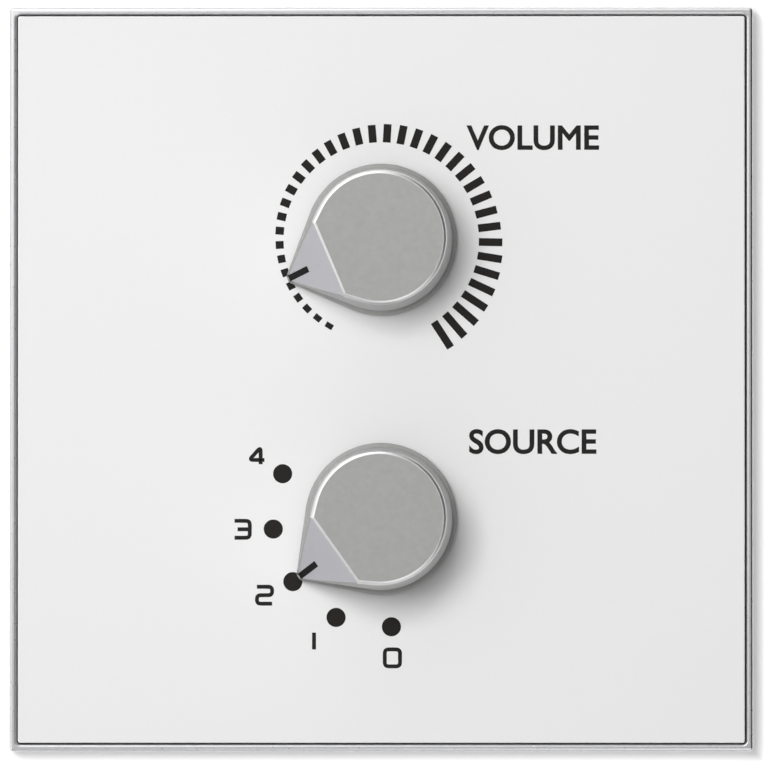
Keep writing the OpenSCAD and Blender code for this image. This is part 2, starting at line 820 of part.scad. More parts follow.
bezel_frame();
front_plate();
mounting_bridge();
level_knob();
level_index_line();
level_knob_clip();
level_shaft();
level_shaft_clip();
level_rotor();
level_wiper();
level_bushing();
level_wafer();
level_terminals();
level_case();
level_lock_washer();
level_bridge_nut();
level_plate_washer();
level_plate_nut();
select_knob();
select_index_line();
select_knob_clip();
select_shaft();
select_shaft_clip();
select_detent_wheel();
select_moving_contact();
select_bushing();
select_stop_washer();
select_detent_spring();
select_sleeve();
select_contact_base();
select_terminals();
select_rivets();
select_lock_washer();
select_bridge_nut();
select_plate_washer();
select_plate_nut();
circuit_board();
board_spacers();
board_screws();
ladder_resistors();
terminal_header();
header_pins();
terminal_plug();
clamp_cages();
clamp_screws();
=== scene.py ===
import bpy
import bmesh
import json
import math
from mathutils import Matrix, Vector


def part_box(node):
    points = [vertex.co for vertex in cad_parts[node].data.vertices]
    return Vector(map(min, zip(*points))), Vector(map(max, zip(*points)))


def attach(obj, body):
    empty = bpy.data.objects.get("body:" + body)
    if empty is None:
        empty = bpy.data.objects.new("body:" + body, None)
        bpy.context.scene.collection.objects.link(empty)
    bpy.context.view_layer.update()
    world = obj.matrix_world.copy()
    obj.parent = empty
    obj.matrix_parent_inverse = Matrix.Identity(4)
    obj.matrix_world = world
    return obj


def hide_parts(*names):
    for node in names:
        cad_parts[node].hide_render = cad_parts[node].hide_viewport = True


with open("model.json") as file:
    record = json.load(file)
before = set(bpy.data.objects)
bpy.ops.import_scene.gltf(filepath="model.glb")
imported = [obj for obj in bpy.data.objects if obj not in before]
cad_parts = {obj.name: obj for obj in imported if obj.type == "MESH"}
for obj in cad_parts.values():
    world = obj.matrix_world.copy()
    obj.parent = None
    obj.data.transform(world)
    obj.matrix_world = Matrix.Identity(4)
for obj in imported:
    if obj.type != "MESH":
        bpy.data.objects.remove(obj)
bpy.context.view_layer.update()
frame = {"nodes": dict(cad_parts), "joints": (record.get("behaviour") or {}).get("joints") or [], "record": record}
mm = 0.001
weldGap = 0.001 * mm
fineGap = 0.0001 * mm
stand = Matrix.Rotation(math.pi / 2, 4, "X")  # turns a drawing in x and y to face the room
bodyOf = {n: b for b, ns in frame["record"]["behaviour"]["bodies"].items() for n in ns}
slotOf = {s["node"]: s["material_slot"] for s in frame["record"]["subparts"]}
hinges = {j["name"]: Vector(j["pos_m"]) for j in frame["joints"]}
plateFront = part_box("front_plate")[0].y
print("frame loaded:", len(frame["nodes"]), "nodes")


# node groups that the finishes share: each gives a tone, a roughness and a normal
grainForm = {"detail": 4.0, "driftScale": 45.0, "driftDetail": 2.0, "drift": 0.35, "bump": 0.05}
lineForm = {"scale": 1.0, "detail": 5.0, "bump": 0.04}


def newGroup(name, ownLabel, ownKind):
    group = bpy.data.node_groups.new(name, "ShaderNodeTree")
    group.interface.new_socket(name="Color", in_out="INPUT", socket_type="NodeSocketColor")
    group.interface.new_socket(name=ownLabel, in_out="INPUT", socket_type=ownKind)
    for label in ("Tint", "Rough", "Spread", "Depth"):
        group.interface.new_socket(name=label, in_out="INPUT", socket_type="NodeSocketFloat")
    group.interface.new_socket(name="Color", in_out="OUTPUT", socket_type="NodeSocketColor")
    group.interface.new_socket(name="Roughness", in_out="OUTPUT", socket_type="NodeSocketFloat")
    group.interface.new_socket(name="Normal", in_out="OUTPUT", socket_type="NodeSocketVector")
    entry = group.nodes.new("NodeGroupInput")
    coords = group.nodes.new("ShaderNodeTexCoord").outputs["Object"]
    return group, entry, coords


def mathNode(tree, operation, first, second):
    node = tree.nodes.new("ShaderNodeMath")
    node.operation = operation
    for socket, value in zip(node.inputs, (first, second)):
        if isinstance(value, (int, float)):
            socket.default_value = value
        else:
            tree.links.new(value, socket)
    return node.outputs[0]


def noiseNode(tree, vector, scale, detail):
    node = tree.nodes.new("ShaderNodeTexNoise")
    node.inputs["Detail"].default_value = detail
    tree.links.new(vector, node.inputs["Vector"])
    if isinstance(scale, (int, float)):
        node.inputs["Scale"].default_value = scale
    else:
        tree.links.new(scale, node.inputs["Scale"])
    return node.outputs[0]


def multiplyColor(tree, color, level):
    gray = tree.nodes.new("ShaderNodeCombineColor")
    for socket in gray.inputs:
        tree.links.new(level, socket)
    node = tree.nodes.new("ShaderNodeMix")
    node.data_type = "RGBA"
    node.blend_type = "MULTIPLY"
    node.inputs[0].default_value = 1.0
    tree.links.new(color, node.inputs[6])  # the two colours of the node, after its plain and vector inputs
    tree.links.new(gray.outputs[0], node.inputs[7])
    return node.outputs[2]


def closeGroup(group, entry, wave, height, bumpDistance):  # tone and roughness follow the wave
    level = mathNode(group, "ADD", mathNode(group, "MULTIPLY", wave, entry.outputs["Tint"]), 1.0)
    spread = mathNode(group, "MULTIPLY", wave, entry.outputs["Spread"])
    bump = group.nodes.new("ShaderNodeBump")
    bump.inputs["Distance"].default_value = bumpDistance * mm
    group.links.new(entry.outputs["Depth"], bump.inputs["Strength"])
    group.links.new(height, bump.inputs["Height"])
    leave = group.nodes.new("NodeGroupOutput")
    group.links.new(multiplyColor(group, entry.outputs["Color"], level), leave.inputs["Color"])
    group.links.new(mathNode(group, "ADD", spread, entry.outputs["Rough"]), leave.inputs["Roughness"])
    group.links.new(bump.outputs[0], leave.inputs["Normal"])
    return group


def buildSurfaceGrain(form):
    group, entry, coords = newGroup("surfaceGrain", "Scale", "NodeSocketFloat")
    fine = noiseNode(group, coords, entry.outputs["Scale"], form["detail"])
    broad = noiseNode(group, coords, form["driftScale"], form["driftDetail"])  # slow drift over the part
    centred = mathNode(group, "SUBTRACT", fine, 0.5)
    drift = mathNode(group, "MULTIPLY", mathNode(group, "SUBTRACT", broad, 0.5), form["drift"])
    return closeGroup(group, entry, mathNode(group, "ADD", centred, drift), fine, form["bump"])


def buildDrawnLines(form):
    group, entry, coords = newGroup("drawnLines", "Stretch", "NodeSocketVector")
    stretched = group.nodes.new("ShaderNodeVectorMath")
    stretched.operation = "MULTIPLY"
    group.links.new(coords, stretched.inputs[0])
    group.links.new(entry.outputs["Stretch"], stretched.inputs[1])
    lines = noiseNode(group, stretched.outputs[0], form["scale"], form["detail"])
    return closeGroup(group, entry, mathNode(group, "SUBTRACT", lines, 0.5), lines, form["bump"])


surfaceGrain = buildSurfaceGrain(grainForm)
drawnLines = buildDrawnLines(lineForm)
coatRough = 0.15


def newFinish(name, group, values, metallic, specular=0.5, coat=0.0):
    material = bpy.data.materials.new(name)
    material.use_nodes = True
    tree = material.node_tree
    shader = tree.nodes["Principled BSDF"]
    shader.inputs["Metallic"].default_value = metallic
    shader.inputs["Specular IOR Level"].default_value = specular
    shader.inputs["Coat Weight"].default_value = coat
    shader.inputs["Coat Roughness"].default_value = coatRough
    use = tree.nodes.new("ShaderNodeGroup")
    use.node_tree = group
    for label, value in values.items():
        use.inputs[label].default_value = value
    tree.links.new(use.outputs["Color"], shader.inputs["Base Color"])
    tree.links.new(use.outputs["Roughness"], shader.inputs["Roughness"])
    tree.links.new(use.outputs["Normal"], shader.inputs["Normal"])
    return material


def grained(name, color, scale, tint, rough, spread, depth, metallic=0.0, specular=0.5, coat=0.0):
    values = {"Color": (*color, 1), "Scale": scale, "Tint": tint, "Rough": rough,
              "Spread": spread, "Depth": depth}
    return newFinish(name, surfaceGrain, values, metallic, specular, coat)


def drawn(name, color, stretch, tint, rough, spread, depth):
    values = {"Color": (*color, 1), "Stretch": stretch, "Tint": tint, "Rough": rough,
              "Spread": spread, "Depth": depth}
    return newFinish(name, drawnLines, values, metallic=1.0)


# finishes, one for each slot of the record: name, colour, grain or stretch, tint, roughness, its spread, bump
finishes = {
    "plate_white": grained("plateSatin", (0.79, 0.79, 0.79), 1500, 0.015, 0.42, 0.05, 0.03, specular=0.3),
    "frame_metal": drawn("frameSilver", (0.68, 0.68, 0.69), (2200, 2200, 2200), 0.10, 0.29, 0.10, 0.06),
    "bridge_steel": grained("bridgeGalvanised", (0.60, 0.61, 0.63), 160, 0.30, 0.40, 0.25, 0.05,
                            metallic=1.0),
    "knob_silver": grained("knobSilver", (0.35, 0.35, 0.342), 1600, 0.20, 0.42, 0.1, 0.12,
                           metallic=0.15, specular=0.12),
    "index_black": grained("inkBlack", (0.017, 0.0155, 0.0145), 1200, 0.2, 0.6, 0.1, 0.03, specular=0.12),
    "spring_steel": drawn("clipSteel", (0.55, 0.56, 0.58), (900, 80, 900), 0.15, 0.28, 0.1, 0.05),
    "shaft_metal": drawn("shaftTurned", (0.66, 0.66, 0.67), (300, 3000, 300), 0.15, 0.25, 0.1, 0.10),
    "rotor_plastic": grained("rotorNatural", (0.72, 0.69, 0.58), 700, 0.06, 0.45, 0.05, 0.05),
    "contact_bronze": drawn("contactBronze", (0.72, 0.47, 0.22), (900, 100, 900), 0.15, 0.28, 0.1, 0.04),
    "bushing_metal": grained("bushingCast", (0.60, 0.60, 0.57), 800, 0.18, 0.36, 0.15, 0.10, metallic=1.0),
    "wafer_brown": grained("waferPhenolic", (0.25, 0.115, 0.045), 420, 0.35, 0.42, 0.1, 0.05, coat=0.15),
    "pin_metal": drawn("pinTinned", (0.74, 0.73, 0.70), (900, 120, 900), 0.15, 0.27, 0.12, 0.05),
    "can_steel": drawn("canDrawn", (0.66, 0.67, 0.68), (1200, 60, 1200), 0.14, 0.27, 0.12, 0.06),
    "sleeve_black": grained("sleeveMoulded", (0.022, 0.022, 0.024), 600, 0.2, 0.40, 0.08, 0.06),
    "fixing_steel": grained("fixingZinc", (0.64, 0.65, 0.67), 500, 0.16, 0.32, 0.14, 0.05, metallic=1.0),
    "board_green": grained("boardMask", (0.012, 0.11, 0.045), 350, 0.35, 0.30, 0.08, 0.06, coat=0.25),
    "resistor_black": grained("resistorGlaze", (0.018, 0.018, 0.02), 500, 0.2, 0.30, 0.08, 0.03, coat=0.2),
    "terminal_green": grained("terminalMoulded", (0.035, 0.25, 0.075), 650, 0.10, 0.42, 0.06, 0.06),
}

# finishes that only single faces or pieces of a slot have; the knob's edge, facet and wall finishes are brighter,
# lighter bluish and darker copies of its silver, and the index line's a darker copy of the ink: painted highlight,
# painted light and painted shade
trims = {
    # painted highlight: a brighter metallic copy of the knob's silver on its rounded and chamfered top edges, for
    # the bright line round the top
    "knobEdgePaintedHighlight": grained("knobSilverEdgeHighlight", (0.76, 0.76, 0.76), 1600, 0.04, 0.38, 0.04, 0.02, metallic=1.0),
    # painted light: a lighter, bluish copy of the knob's silver on the pointer facet, for the light and blue sheen
    # the facet catches
    "knobFacetPaintedLight": grained("knobFacetPaintedLight", (0.50, 0.50, 0.53), 1600, 0.08, 0.42, 0.1, 0.06,
                         metallic=0.15, specular=0.12),
    # painted shade: a darker, rougher metallic copy of the knob's silver on its side wall, for the dark band round
    # the wall
    "knobWallPaintedShade": grained("knobWallPaintedShade", (0.44, 0.44, 0.44), 1600, 0.06, 0.70, 0.06, 0.04, metallic=1.0),
    # painted shade: a darker copy of the black ink on the index line, so that the lit line still shows black
    "indexInkPaintedShade": grained("indexInkPaintedShade", (0.006, 0.006, 0.006), 1200, 0.2, 0.6, 0.1, 0.03, specular=0.06),
    "solderTin": grained("solderTin", (0.70, 0.70, 0.69), 500, 0.14, 0.24, 0.14, 0.06, metallic=1.0),
    "traceGreen": grained("traceUnderMask", (0.03, 0.19, 0.075), 350, 0.25, 0.28, 0.08, 0.05, coat=0.25),
}
print("finishes made:", len(finishes) + len(trims))


# helpers for shapes and pieces

def addObject(name, data):
    holder = bpy.data.objects.new(name, data)
    bpy.context.scene.collection.objects.link(holder)
    return holder


def addPiece(bm, name, body, materials, replaced=(), sharp=35):
    mesh = bpy.data.meshes.new(name)
    bm.to_mesh(mesh)
    bm.free()
    for material in materials:
        mesh.materials.append(material)
    mesh.shade_smooth()
    mesh.set_sharp_from_angle(angle=math.radians(sharp))
    piece = addObject(name, mesh)
    weighted = piece.modifiers.new("weightedNormals", "WEIGHTED_NORMAL")
    weighted.keep_sharp = True
    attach(piece, body)
    if replaced:
        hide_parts(*replaced)


def addBox(bm, low, high):
    made = bmesh.ops.create_cube(bm, size=1.0)["verts"]
    bmesh.ops.scale(bm, vec=high - low, verts=made)
    bmesh.ops.translate(bm, vec=(high + low) / 2, verts=made)
    return made


def boxOf(points):
    low = Vector([min(p[k] for p in points) for k in range(3)])
    high = Vector([max(p[k] for p in points) for k in range(3)])
    return low, high


def bevelEdges(bm, edges, width, steps, clamp=False):
    made = bmesh.ops.bevel(bm, geom=edges, offset=width * mm, offset_type="OFFSET", segments=steps,
                           profile=0.5, affect="EDGES", clamp_overlap=clamp, material=-1)
    return made["faces"]


def fillHoles(bm):
    bmesh.ops.holes_fill(bm, edges=[e for e in bm.edges if e.is_boundary], sides=0)


def cutAway(bm, point, normal):  # takes off what lies beyond a plane and closes the cut
    bmesh.ops.bisect_plane(bm, geom=bm.verts[:] + bm.edges[:] + bm.faces[:], dist=fineGap,
                           plane_co=point, plane_no=normal, clear_outer=True)
    fillHoles(bm)


def nodeMesh(nodeName):  # a merged copy of a CAD node
    bm = bmesh.new()
    bm.from_mesh(frame["nodes"][nodeName].data)
    bmesh.ops.remove_doubles(bm, verts=bm.verts, dist=weldGap)
    return bm


# CAD nodes with their edges broken, as real pieces have
edgeBreaks = {
    "bezel_frame": 0.12, "front_plate": 0.14, "mounting_bridge": 0.18,
    "level_case": 0.12, "level_bushing": 0.12, "level_wafer": 0.06,
    "select_bushing": 0.12, "select_sleeve": 0.12, "select_contact_base": 0.08, "select_rivets": 0.12,
    "circuit_board": 0.06, "board_spacers": 0.15, "board_screws": 0.12, "ladder_resistors": 0.05,
    "terminal_header": 0.10, "terminal_plug": 0.12, "header_pins": 0.12, "clamp_screws": 0.08,
    "clamp_cages": 0.05, "level_terminals": 0.05, "select_terminals": 0.05,
    "level_plate_nut": 0.15, "select_plate_nut": 0.15, "level_bridge_nut": 0.15, "select_bridge_nut": 0.15,
}
breakForm = {"flatWithin": 0.5, "from": 32.0, "steps": 2}  # angles in degrees
rimForm = {"rounding": 0.32, "from": 60.0, "steps": 4}  # both front edges of the frame: its rim is half round


def roundRim(bm, form):
    front = min(v.co.y for v in bm.verts) + weldGap
    steep = math.radians(form["from"])
    edges = [e for e in bm.edges if all(v.co.y < front for v in e.verts) and e.calc_face_angle() > steep]
    bevelEdges(bm, edges, form["rounding"], form["steps"])


def softenNode(nodeName, width, form):
    bm = nodeMesh(nodeName)
    bmesh.ops.dissolve_limit(bm, angle_limit=math.radians(form["flatWithin"]), verts=bm.verts, edges=bm.edges)
    if nodeName == "bezel_frame":
        roundRim(bm, rimForm)
    steep = math.radians(form["from"])
    edges = [e for e in bm.edges if e.is_manifold and e.calc_face_angle() > steep]
    bevelEdges(bm, edges, width, form["steps"], clamp=True)
    slotName = slotOf[nodeName]
    addPiece(bm, nodeName + "Dressed", bodyOf[nodeName], [finishes[slotName]], [nodeName])


for nodeName, width in edgeBreaks.items():
    softenNode(nodeName, width, breakForm)
for nodeName, node in frame["nodes"].items():
    if nodeName not in edgeBreaks:
        node.data.materials.clear()
        node.data.materials.append(finishes[slotOf[nodeName]])
print("edges broken on", len(edgeBreaks), "nodes")


# pointer knobs, drawn with their axis upright and their tip along x
knobForm = {
    "segments": 192, "bore": 3.03, "boreHeight": 10.7, "boss": 4.5, "bossLow": 2.9,
    "cavity": 6.3, "cavityHeight": 9.6, "lip": 8.15, "lipHeight": 1.4, "foot": 7.75,
    "draft": 2.5, "reach": 10.9, "tipStep": 0.2, "facetAt": 5.9, "tipHeight": 1.6,
    "roundEdge": 0.4, "roundSteps": 4, "chordEdge": 0.25, "chordSteps": 3,
    "softEdge": 0.14, "softSteps": 2, "softFrom": 25.0, "softTo": 172.0, "sharp": 24,
    "lineIn": 8.4, "lineWidth": 0.7, "lineDeep": 0.25, "lineProud": 0.03, "lineEdge": 0.03, "lineSteps": 2,
}
# the knob's edge, facet and wall finishes are copies of its one silver that paint highlight, light and shade
knobFinishes = {
    "top": finishes["knob_silver"], "edge": trims["knobEdgePaintedHighlight"], "facet": trims["knobFacetPaintedLight"],
    "wall": trims["knobWallPaintedShade"],
}
finishIndex = {part: k for k, part in enumerate(knobFinishes)}
sameWay = 0.9999  # dot product of two normals that agree
wallLean = 0.1  # most that the normal of a knob's wall leans to the front


def flankAngle(radius, reach, form):  # where a flat side touches the round body, off the pointer's line
    tip = math.tau / form["segments"]  # the blunt tip is two segments wide
    return math.acos(radius * math.cos(tip) / reach) + tip


def placeRing(verts, radius, height, reach, form):
    touch = flankAngle(radius, reach, form) if reach else 0.0
    for v in verts:
        angle = math.atan2(v.co.y, v.co.x)
        off = abs(angle)
        away = radius
        if off < touch:
            away = min(radius / math.cos(touch - off), reach / math.cos(off))
        v.co = Vector((math.cos(angle) * away, math.sin(angle) * away, height)) * mm


def facetSlope(form, height):
    return math.atan2(height - form["tipHeight"], form["reach"] - form["facetAt"])


def knobBody(form, height):
    bm = bmesh.new()
    start = bmesh.ops.create_circle(bm, cap_ends=True, radius=1.0, segments=form["segments"])["verts"]
    placeRing(start, form["bore"], form["boreHeight"], 0.0, form)
    slant = math.tan(math.radians(form["draft"]))
    inner = form["reach"] - form["tipStep"]
    # rings from the bore outwards and up to the top: radius, height, reach of the tip
    rings = [(form["bore"], form["bossLow"], 0.0), (form["boss"], form["bossLow"], 0.0),
             (form["boss"], form["cavityHeight"], 0.0), (form["cavity"], form["cavityHeight"], 0.0),
             (form["cavity"], 0.0, 0.0), (form["lip"], 0.0, form["reach"]),
             (form["lip"], form["lipHeight"], form["reach"]),
             (form["foot"] - form["lipHeight"] * slant, form["lipHeight"], inner),
             (form["foot"] - height * slant, height, inner)]
    edges = list(bm.edges)
    for radius, level, reach in rings:
        made = bmesh.ops.extrude_edge_only(bm, edges=edges)["geom"]
        placeRing([g for g in made if isinstance(g, bmesh.types.BMVert)], radius, level, reach, form)
        edges = [g for g in made if isinstance(g, bmesh.types.BMEdge) and g.is_boundary]
    bmesh.ops.contextual_create(bm, geom=edges)
    return bm


def breakEdges(bm, edges, width, steps, part):
    for face in bevelEdges(bm, edges, width, steps):
        face.material_index = finishIndex[part]


def cutFacet(bm, form, height):
    slope = facetSlope(form, height)
    out = Vector((math.sin(slope), 0, math.cos(slope)))
    cutAway(bm, Vector((form["facetAt"], 0, height)) * mm, out)
    bmesh.ops.recalc_face_normals(bm, faces=bm.faces)
    # the facet, the side wall and the rounded top edges take the knob's painted light, painted shade and painted
    # highlight finishes
    facet = next(f for f in bm.faces if f.normal.dot(out) > sameWay)
    facet.material_index = finishIndex["facet"]
    for face in bm.faces:
        if abs(face.normal.z) < wallLean and face.calc_center_median().z > form["lipHeight"] * mm:
            face.material_index = finishIndex["wall"]
    top = max((f for f in bm.faces if f.normal.z > sameWay), key=lambda f: f.calc_center_median().z)
    around = [e for e in top.edges if facet not in e.link_faces]
    breakEdges(bm, around, form["roundEdge"], form["roundSteps"], "edge")
    facet = next(f for f in bm.faces if f.normal.dot(out) > sameWay)
    chord = [e for e in facet.edges if any(f.normal.z > sameWay for f in e.link_faces)]
    breakEdges(bm, chord, form["chordEdge"], form["chordSteps"], "edge")
    least = math.radians(form["softFrom"])
    most = math.radians(form["softTo"])
    soft = [e for e in bm.edges if e.is_manifold and least < e.calc_face_angle_signed() < most
            and all(f.material_index != finishIndex["edge"] for f in e.link_faces)]
    breakEdges(bm, soft, form["softEdge"], form["softSteps"], "top")


def lineBar(form, height):  # black index line, let into the facet from the tip
    slope = facetSlope(form, height)
    inner = form["reach"] - form["tipStep"]
    start = (form["lineIn"] - form["facetAt"]) / math.cos(slope)
    end = (inner - form["facetAt"]) / math.cos(slope)
    bm = bmesh.new()
    addBox(bm, Vector((start, -form["lineWidth"] / 2, -form["lineDeep"])) * mm,
           Vector((end, form["lineWidth"] / 2, form["lineProud"])) * mm)
    bevelEdges(bm, bm.edges[:], form["lineEdge"], form["lineSteps"])
    onFacet = Matrix.Translation(Vector((form["facetAt"], 0, height)) * mm) @ Matrix.Rotation(slope, 4, "Y")
    bmesh.ops.transform(bm, matrix=onFacet, verts=bm.verts)
    waist = form["foot"] - form["tipHeight"] * math.tan(math.radians(form["draft"]))
    touch = flankAngle(waist, inner, form)
    for side in (-1, 1):  # cut flush with the flanks of the pointer
        flank = Vector((math.cos(touch), side * math.sin(touch), 0))
        cutAway(bm, flank * waist * mm, flank)
    bmesh.ops.recalc_face_normals(bm, faces=bm.faces)
    return bm


def addKnob(prefix, hinge, form):
    low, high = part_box(prefix + "_knob")
    height = (high.y - low.y) / mm
    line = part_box(prefix + "_index_line")
    aim = (line[0] + line[1]) / 2 - hinge
    turn = Matrix.Rotation(math.atan2(aim.z, aim.x), 4, "Z")
    place = Matrix.Translation(Vector((hinge.x, high.y, hinge.z))) @ stand @ turn
    body = bodyOf[prefix + "_knob"]
    bm = knobBody(form, height)
    cutFacet(bm, form, height)
    bmesh.ops.transform(bm, matrix=place, verts=bm.verts)
    addPiece(bm, prefix + "Knob", body, knobFinishes.values(), [prefix + "_knob"],
             sharp=form["sharp"])
    bar = lineBar(form, height)
    bmesh.ops.transform(bar, matrix=place, verts=bar.verts)
    # the index line takes the darker copy of the ink: painted shade
    addPiece(bar, prefix + "IndexLine", body, [trims["indexInkPaintedShade"]], [prefix + "_index_line"])


addKnob("level", hinges["level_turn"], knobForm)
addKnob("select", hinges["select_turn"], knobForm)
print("knobs made")


# print on the plate, sizes in mm and angles clockwise from straight down
printForm = {
    "ink": 0.02, "tickFirst": 31.2, "tickStep": 8.0, "tickCount": 38, "tickInner": 10.5, "tickWidth": 0.84,
    "tickShort": 0.6, "tickLong": 3.28, "tickDip": 0.28, "tickWaves": 2,
    "dotFirst": -5.4, "dotStep": 30.0, "dotCount": 5, "dotRing": 11.66, "dotRadius": 1.03, "dotSegments": 40,
    "digitAngles": (-4.6, 28.8, 56.8, 85.7, 116.9), "digitRing": 15.0, "digitHalf": (0.82, 0.91),
    "digitStroke": 0.42, "digitBend": 0.42,
    "words": {"VOLUME": 26.0, "SOURCE": -6.7}, "wordCentre": 16.3, "wordHeight": 2.7, "wordStroke": 0.022,
    "wordSteps": 6,
}
bendSteps = 5
inkFinish = [finishes["index_black"]]

# strokes of each digit in a box from -1 to 1: corners, then whether the stroke closes
digitStrokes = (
    [([(-1, -1), (1, -1), (1, 1), (-1, 1)], True)],
    [([(0, -1), (0, 1)], False)],
    [([(-1, 1), (1, 1), (1, 0), (-1, 0), (-1, -1), (1, -1)], False)],
    [([(-1, 1), (1, 1), (1, -1), (-1, -1)], False), ([(-0.6, 0), (0.9, 0)], False)],
    [([(0.5, -1), (0.5, 1), (-1, -0.5), (1, -0.5)], False)],
)


def inkPlace(x, y):
    return Vector((x * mm, plateFront, y * mm))


def addTicks(form):
    bm = bmesh.new()
    half = form["tickWidth"] / 2
    home = Matrix.Translation(Vector((0, plateFront, hinges["level_turn"].z)))
    for k in range(form["tickCount"]):
        share = k / (form["tickCount"] - 1)
        wave = form["tickDip"] * (1 - math.cos(math.tau * form["tickWaves"] * share)) / 2
        length = form["tickShort"] + (form["tickLong"] - form["tickShort"]) * share - wave
        made = addBox(bm, Vector((-half, -form["ink"], -form["tickInner"] - length)) * mm,
                      Vector((half, 0, -form["tickInner"])) * mm)
        turn = Matrix.Rotation(math.radians(form["tickFirst"] + k * form["tickStep"]), 4, "Y")
        bmesh.ops.transform(bm, matrix=home @ turn, verts=made)
    addPiece(bm, "levelScale", "panel", inkFinish)


def dialPoint(hinge, degrees, ring):
    angle = math.radians(degrees)
    return (-math.sin(angle) * ring, hinge.z / mm - math.cos(angle) * ring)


def addDots(form):
    bm = bmesh.new()
    radius = form["dotRadius"] * mm
    for k in range(form["dotCount"]):
        x, y = dialPoint(hinges["select_turn"], form["dotFirst"] + k * form["dotStep"], form["dotRing"])
        made = bmesh.ops.create_cone(bm, cap_ends=True, segments=form["dotSegments"], radius1=radius,
                                     radius2=radius, depth=form["ink"] * mm)["verts"]
        home = Matrix.Translation(inkPlace(x, y) - Vector((0, form["ink"] * mm / 2, 0)))
        bmesh.ops.transform(bm, matrix=home @ stand, verts=made)
    addPiece(bm, "selectDots", "panel", inkFinish)


def curveMesh(curve):
    holder = addObject(curve.name, curve)
    bpy.context.view_layer.update()
    flat = bpy.data.meshes.new_from_object(holder.evaluated_get(bpy.context.evaluated_depsgraph_get()))
    bpy.data.objects.remove(holder)
    bm = bmesh.new()
    bm.from_mesh(flat)
    bpy.data.meshes.remove(flat)
    return bm


def layInk(bm, name, x, y):
    bmesh.ops.remove_doubles(bm, verts=bm.verts, dist=fineGap)
    bmesh.ops.recalc_face_normals(bm, faces=bm.faces)
    bmesh.ops.transform(bm, matrix=Matrix.Translation(inkPlace(x, y)) @ stand, verts=bm.verts)
    addPiece(bm, name, "panel", inkFinish)


def addWord(word, y, form):
    name = word.lower() + "Word"
    curve = bpy.data.curves.new(name + "Curve", "FONT")
    curve.body = word
    curve.align_x = "CENTER"
    curve.resolution_u = form["wordSteps"]
    curve.bevel_depth = form["wordStroke"]
    curve.bevel_resolution = 1
    bm = curveMesh(curve)
    low, high = boxOf([v.co for v in bm.verts])
    size = form["wordHeight"] * mm / (high.y - low.y)
    bmesh.ops.translate(bm, vec=(-(low.x + high.x) / 2, -(low.y + high.y) / 2, -low.z), verts=bm.verts)
    bmesh.ops.scale(bm, vec=(size, size, form["ink"] * mm / (high.z - low.z)), verts=bm.verts)
    layInk(bm, name, form["wordCentre"], y)


def bendCorners(corners, closed, bend):  # swaps each corner for points on a curve that leaves both its sides
    path = []
    last = len(corners) - 1
    for k, corner in enumerate(corners):
        if not closed and k in (0, last):
            path.append(corner)
            continue
        before = corners[k - 1] - corner
        after = corners[(k + 1) % len(corners)] - corner
        start = corner + before.normalized() * min(bend, before.length / 2)
        end = corner + after.normalized() * min(bend, after.length / 2)
        for step in range(bendSteps + 1):
            t = step / bendSteps
            path.append(start * (1 - t) ** 2 + corner * 2 * t * (1 - t) + end * t ** 2)
    return path


def strokeCurve(name, width):
    curve = bpy.data.curves.new(name, "CURVE")
    curve.dimensions = "3D"
    curve.bevel_depth = width / 2
    curve.bevel_resolution = 1
    curve.use_fill_caps = True
    return curve


def addSpline(curve, path, closed):
    spline = curve.splines.new("POLY")
    spline.points.add(len(path) - 1)
    spline.use_cyclic_u = closed
    for point, place in zip(spline.points, path):
        point.co = (*place, 1)


def addDigit(value, x, y, form):
    curve = strokeCurve("digitCurve", form["digitStroke"])
    for corners, closed in digitStrokes[value]:
        scaled = [Vector((a * form["digitHalf"][0], b * form["digitHalf"][1], 0)) for a, b in corners]
        addSpline(curve, bendCorners(scaled, closed, form["digitBend"]), closed)
    bm = curveMesh(curve)
    bmesh.ops.scale(bm, vec=(mm, mm, form["ink"] * mm / form["digitStroke"]), verts=bm.verts)
    bmesh.ops.translate(bm, vec=(0, 0, form["ink"] * mm / 2), verts=bm.verts)
    layInk(bm, "selectDigit" + str(value), x, y)


addTicks(printForm)
addDots(printForm)
for value, angle in enumerate(printForm["digitAngles"]):
    x, y = dialPoint(hinges["select_turn"], angle, printForm["digitRing"])
    addDigit(value, x, y, printForm)
for word, y in printForm["words"].items():
    addWord(word, y, printForm)
print("print laid on the plate")


# rear of the circuit board: solder at the pins, tracks under the green mask, metal ends on the chips
rearForm = {
    "solderFoot": 0.85, "solderNeck": 0.36, "solderHeight": 0.62, "solderSteps": 5, "solderSegments": 20,
    "solderSharp": 50, "pinEnd": 0.3,
    "trackWidth": 0.62, "trackThick": 0.06, "trackBend": 0.5, "trackStep": 0.02,
    "padOuter": 3.5, "padInner": 1.9, "padThick": 0.04, "padSegments": 48,
    "capLength": 0.45, "capProud": 0.02, "capEdge": 0.05, "capSteps": 2,
    "laneBelow": 1.8, "laneAbove": 1.2, "laneOut": 1.9, "laneIn": 1.5,
}
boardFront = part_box("circuit_board")[0].y
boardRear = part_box("circuit_board")[1].y


def islands(nodeName):  # the places of the vertices of each separate solid of a node
    bm = nodeMesh(nodeName)
    left = set(bm.verts)
    found = []
    while left:
        group = [left.pop()]
        for v in group:
            near = {e.other_vert(v) for e in v.link_edges} & left
            left -= near
            group.extend(near)
        found.append([v.co.copy() for v in group])
    bm.free()
    return found


def pinTips(nodeName, side, form):  # middles of the ends out of the front (-1) or the rear (1) of the board
    tips = []
    for points in islands(nodeName):
        far = max(p.y * side for p in points)
        ends = [p for p in points if p.y * side > far - form["pinEnd"] * mm]
        tips.append(sum(ends, Vector()) / len(ends))
    return tips


